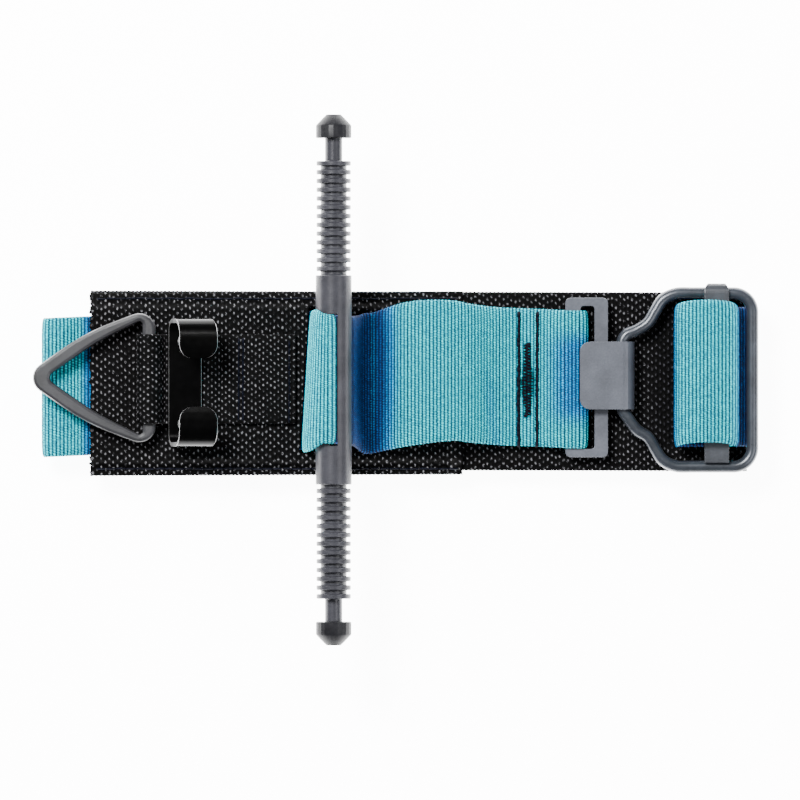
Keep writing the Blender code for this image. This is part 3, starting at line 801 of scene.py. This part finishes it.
def make_seams(paint):
    chance = np.random.RandomState(11)
    for side, x in (("inner", 32.7), ("outer", 37.6)):
        rows = stitches((x, -17.6), (x + 0.1, 18.6), 1.32, on_front, chance)
        rows += stitches((x + 0.28, -17.6), (x + 0.35, 18.6), 1.32, on_front, chance)
        thread_piece("seam_front_" + side, rows, 0.34, paint, "front_seam_" + side)
    thread_piece("seam_bartack", bartack(chance), 0.27, paint, "front_bartack")
    for side, y in (("upper", 21.7), ("lower", -23.6)):
        rows = stitches((-79.5, y), (17.0, y), 2.6, on_cover, chance)
        thread_piece("seam_cover_" + side, rows, 0.22, paint, "cover_seam_" + side)
    rows = stitches((-28.1, -11.4), (-28.1, 11.6), 2.0, on_keeper, chance)
    thread_piece("seam_keeper_end", rows, 0.22, paint, "keeper_end_seam")
    rows = []
    for x in (-41.6, -40.4):
        rows += stitches((x, -10.8), (x, 11.2), 2.0, on_keeper, chance)
    thread_piece("seam_keeper_bartack", rows, 0.22, paint, "keeper_bartack")


# Hard pieces that are made finer than in the CAD --------------------------------------------------

def hard_piece(name, builder, paints, body, node):
    """The builder's mesh as a piece that rides on body and replaces a CAD node."""
    mesh = bpy.data.meshes.new(name)
    bmesh.ops.recalc_face_normals(builder, faces=builder.faces)
    builder.to_mesh(mesh)
    builder.free()
    for paint in paints:
        mesh.materials.append(paint)
    mesh.shade_smooth()
    mesh.set_sharp_from_angle(angle=math.radians(40))
    piece = add_object(name, mesh)
    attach(piece, body)
    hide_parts(node)
    return piece


def eased(profile, ease):
    """The turned profile with each corner cut back a little on both sides, as a chamfer."""
    result = [profile[0]]
    for before, here, after in zip(profile, profile[1:], profile[2:]):
        here = Vector(here)
        for other in (Vector(before), Vector(after)):
            away = other - here
            result.append(tuple(here + away.normalized() * min(ease, away.length * 0.45)))
    return result + [profile[-1]]


def rod_profile():
    """The rod's (y, radius) points from one tip to the other."""
    half = [(0.0, BARREL_RADIUS), (BARREL_HALF, BARREL_RADIUS)]
    for rib in range(RIB_COUNT):
        start = BARREL_HALF + RIB_PITCH * (rib + 1) - RIB_WIDTH
        half += [
            (start - RIB_PITCH + RIB_WIDTH, GROOVE_RADIUS), (start, GROOVE_RADIUS),
            (start, RIB_RADIUS), (start + RIB_WIDTH, RIB_RADIUS),
        ]
    half += [
        (BARREL_HALF + RIB_PITCH * RIB_COUNT, NECK_RADIUS), (HEAD_INNER, NECK_RADIUS),
        (HEAD_INNER, HEAD_RADIUS), (HEAD_RIM, HEAD_RADIUS), (HEAD_CROWN, CROWN_RADIUS),
        (ROD_HALF, TIP_RADIUS),
    ]
    profile = eased(half, 0.18)
    return [(-y, radius) for y, radius in reversed(profile)] + profile[1:]


def cut_slot(rod):
    """Cuts the slot for the strap through the middle of the rod."""
    builder = bmesh.new()
    bmesh.ops.create_cube(builder, size=1.0)
    for vert in builder.verts:
        x, y, z = vert.co
        vert.co = Vector((ROD_X + x * SLOT_WIDTH, y * SLOT_LENGTH, ROD_Z + z * SLOT_DEPTH)) * MM
    mesh = bpy.data.meshes.new("slot_tool")
    builder.to_mesh(mesh)
    builder.free()
    tool = add_object("slot_tool", mesh)
    cut = rod.modifiers.new("slot", "BOOLEAN")
    cut.object = tool
    cut.operation = "DIFFERENCE"
    bpy.context.view_layer.update()
    evaluated = rod.evaluated_get(bpy.context.evaluated_depsgraph_get())
    cut_mesh = bpy.data.meshes.new_from_object(evaluated)
    rod.modifiers.clear()
    rod.data = cut_mesh
    bpy.data.objects.remove(tool)


def make_rod(paint, head_painted_shade):
    """The turned windlass rod. Its heads carry painted shade and are finely knurled round their rims."""
    profile = rod_profile()
    segments, margin = 72, 0.1
    builder = bmesh.new()
    rings = []
    for y, radius in profile:
        knurled = HEAD_INNER + margin < abs(y) < HEAD_RIM - margin
        ring = []
        for step in range(segments):
            angle = 2 * math.pi * (step + 0.5) / segments
            reach = radius + (0.06 * math.cos(24 * angle) if knurled else 0.0)
            place = Vector((reach * math.cos(angle), y, reach * math.sin(angle)))
            ring.append(builder.verts.new(place * MM))
        rings.append(ring)
    for (y, _), (next_y, _), near, far in zip(profile, profile[1:], rings, rings[1:]):
        # Faces on the heads take the painted shade colour.
        on_head = abs(y + next_y) / 2 > HEAD_INNER - margin
        for i in range(segments):
            j = (i + 1) % segments
            face = builder.faces.new((near[i], near[j], far[j], far[i]))
            face.material_index = 1 if on_head else 0
    for ring in (rings[0], rings[-1]):
        builder.faces.new(ring).material_index = 1
    bmesh.ops.translate(builder, verts=builder.verts, vec=Vector((ROD_X, 0, ROD_Z)) * MM)
    rod = hard_piece("rod_turned", builder, [paint, head_painted_shade], "windlass",
                     "windlass_rod")
    cut_slot(rod)


def clip_station(share):
    """(y, z, left x, right x) of the sheet's middle line: share 0 is the base's middle, 1 the tip."""
    base = CLIP_FOOT_Z + SHEET / 2
    top = CLIP_FOOT_Z + SHEET + CLIP_GAP + SHEET / 2
    wall = CLIP_HALF - SHEET / 2
    low_bend, high_bend, nose = 2.6, 4.2, 3.6
    line = [(0.0, base), (6.0, base), (11.0, base)]
    line += arc((wall - low_bend, base + low_bend), low_bend, -90, 0, 10)
    line += arc((wall - high_bend, top - high_bend), high_bend, 0, 90, 14)
    line += [(wall - 6.6, top), (wall - 8.4, top - 0.1), (wall - 9.9, top - 0.3)]
    line = np.array(line)
    lengths = np.concatenate([[0], np.cumsum(np.linalg.norm(np.diff(line, axis=0), axis=1))])
    y = float(np.interp(share * lengths[-1], lengths, line[:, 0]))
    z = float(np.interp(share * lengths[-1], lengths, line[:, 1]))
    rise = min(max((z - base) / (top - base), 0.0), 1.0)
    left, right = -60.1 + 3.1 * rise, -51.4 + 4.5 * rise
    remaining = (1 - share) * lengths[-1]
    if remaining < nose:
        inward = nose - math.sqrt(max(nose**2 - (nose - remaining) ** 2, 0.0))
        left, right = left + inward, right - inward
    return y, z, left, right


def clip_section(left, right):
    """The sheet's (x, share of the half thickness) corners in order, with its cut edges eased."""
    reach = min(HIGHLIGHT_EDGE, (right - left) * 0.3)
    flank = 1 - 2 * HIGHLIGHT_EDGE / SHEET
    return [
        (left + reach, 1), (left, flank), (left, -flank), (left + reach, -1),
        (right - reach, -1), (right, -flank), (right, flank), (right - reach, 1),
    ]


def make_clip(paint, metal_and_highlight):
    """The sheet's flat faces are gloss black; its cut edges carry a painted highlight in bright metal."""
    finger = 0.84
    shares = [share / 60 for share in range(50)]
    shares += [finger + (1 - finger) * math.sin(math.pi / 2 * k / 16) for k in range(17)]
    half = [clip_station(share) for share in shares]
    stations = [(-y, z, left, right) for y, z, left, right in reversed(half[1:])] + half
    builder = bmesh.new()
    rings = []
    for i, (y, z, left, right) in enumerate(stations):
        before, after = stations[max(i - 1, 0)], stations[min(i + 1, len(stations) - 1)]
        along = Vector((after[0] - before[0], after[1] - before[1])).normalized()
        normal = Vector((-along.y, along.x))
        ring = []
        for x, share in clip_section(left, right):
            offset = normal * share * SHEET / 2
            ring.append(builder.verts.new(Vector((x, y + offset.x + CLIP_Y, z + offset.y)) * MM))
        rings.append(ring)
    flat_sides = (3, 7)
    for near, far in zip(rings, rings[1:]):
        for i in range(8):
            j = (i + 1) % 8
            face = builder.faces.new((near[i], near[j], far[j], far[i]))
            face.material_index = 0 if i in flat_sides else 1
    for ring in (rings[0], rings[-1]):
        builder.faces.new(ring).material_index = 1
    hard_piece("clip_sheet", builder, [paint, metal_and_highlight], "root", "windlass_clip")


def ring_half(neck_end):
    """The wire's middle line from the neck to the right bar, on the side where y grows."""
    shoulder = spline([
        (NECK_X, neck_end - 2.0), (NECK_X, neck_end), (61.6, neck_end + 1.9), (64.2, 13.2),
        (67.2, 15.2), (69.2, 18.4), (71.2, 21.3), (74.7, 22.95), (79.0, RAIL_Y),
    ])
    corner = arc((RING_RIGHT - RING_CORNER, RAIL_Y - RING_CORNER), RING_CORNER, 90, 0, 16)
    return shoulder + corner + [(RING_RIGHT, 8.0)]


def make_ring(paint):
    """The buckle's bent wire, round in section."""
    curve = bpy.data.curves.new("ring_wire", "CURVE")
    curve.dimensions = "3D"
    curve.bevel_depth = WIRE_RADIUS * MM
    curve.bevel_resolution = 6
    upper = ring_half(NECK_TOP)
    lower = [(x, -y) for x, y in reversed(ring_half(-NECK_BOTTOM))]
    line = curve.splines.new("POLY")
    line.points.add(len(upper) + len(lower) - 1)
    for point, (x, y) in zip(line.points, upper + lower):
        point.co = (x * MM, (y + RING_Y) * MM, WIRE_Z * MM, 1.0)
    line.use_cyclic_u = True
    line.use_smooth = True
    curve.materials.append(paint)
    piece = add_object("ring_wire", curve)
    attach(piece, "ring")
    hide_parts("buckle_ring")


def finish_cad_nodes(paints):
    """Materials for the CAD nodes that stay, and the width of their broken edges."""
    looks = {
        "locking_ring": ("plastic", 0.0),
        "clip_rivet_upper": ("metal_and_highlight", 0.15),
        "clip_rivet_lower": ("metal_and_highlight", 0.15),
        "slotted_plate": ("steel", 0.0),
        "buckle_hook": ("steel", 0.22),
        "slider_bar": ("dark_steel", 0.2),
    }
    for name, (paint, width) in looks.items():
        node = NODES[name]
        node.data.materials.clear()
        node.data.materials.append(paints[paint])
        if width:
            weld = node.modifiers.new("weld", "WELD")
            weld.merge_threshold = 0.00001
            rounding = node.modifiers.new("edges", "BEVEL")
            rounding.width = width * MM
            rounding.segments = 3
            rounding.limit_method = "ANGLE"
            rounding.angle_limit = math.radians(50)


def main():
    make_camera()
    make_lights()
    make_floor()
    paints = make_materials()
    make_bands(paints["black"])
    make_keeper(paints["black"])
    for make_stretch in (make_left_run, make_first_layer, make_risers, make_slider_wrap, make_tail,
                         make_front, make_windlass_wrap):
        make_stretch(paints["blue"])
    make_seams(paints["thread"])
    make_rod(paints["rod"], paints["rod_head_painted_shade"])
    make_clip(paints["black_steel"], paints["metal_and_highlight"])
    make_ring(paints["wire"])
    finish_cad_nodes(paints)


main()
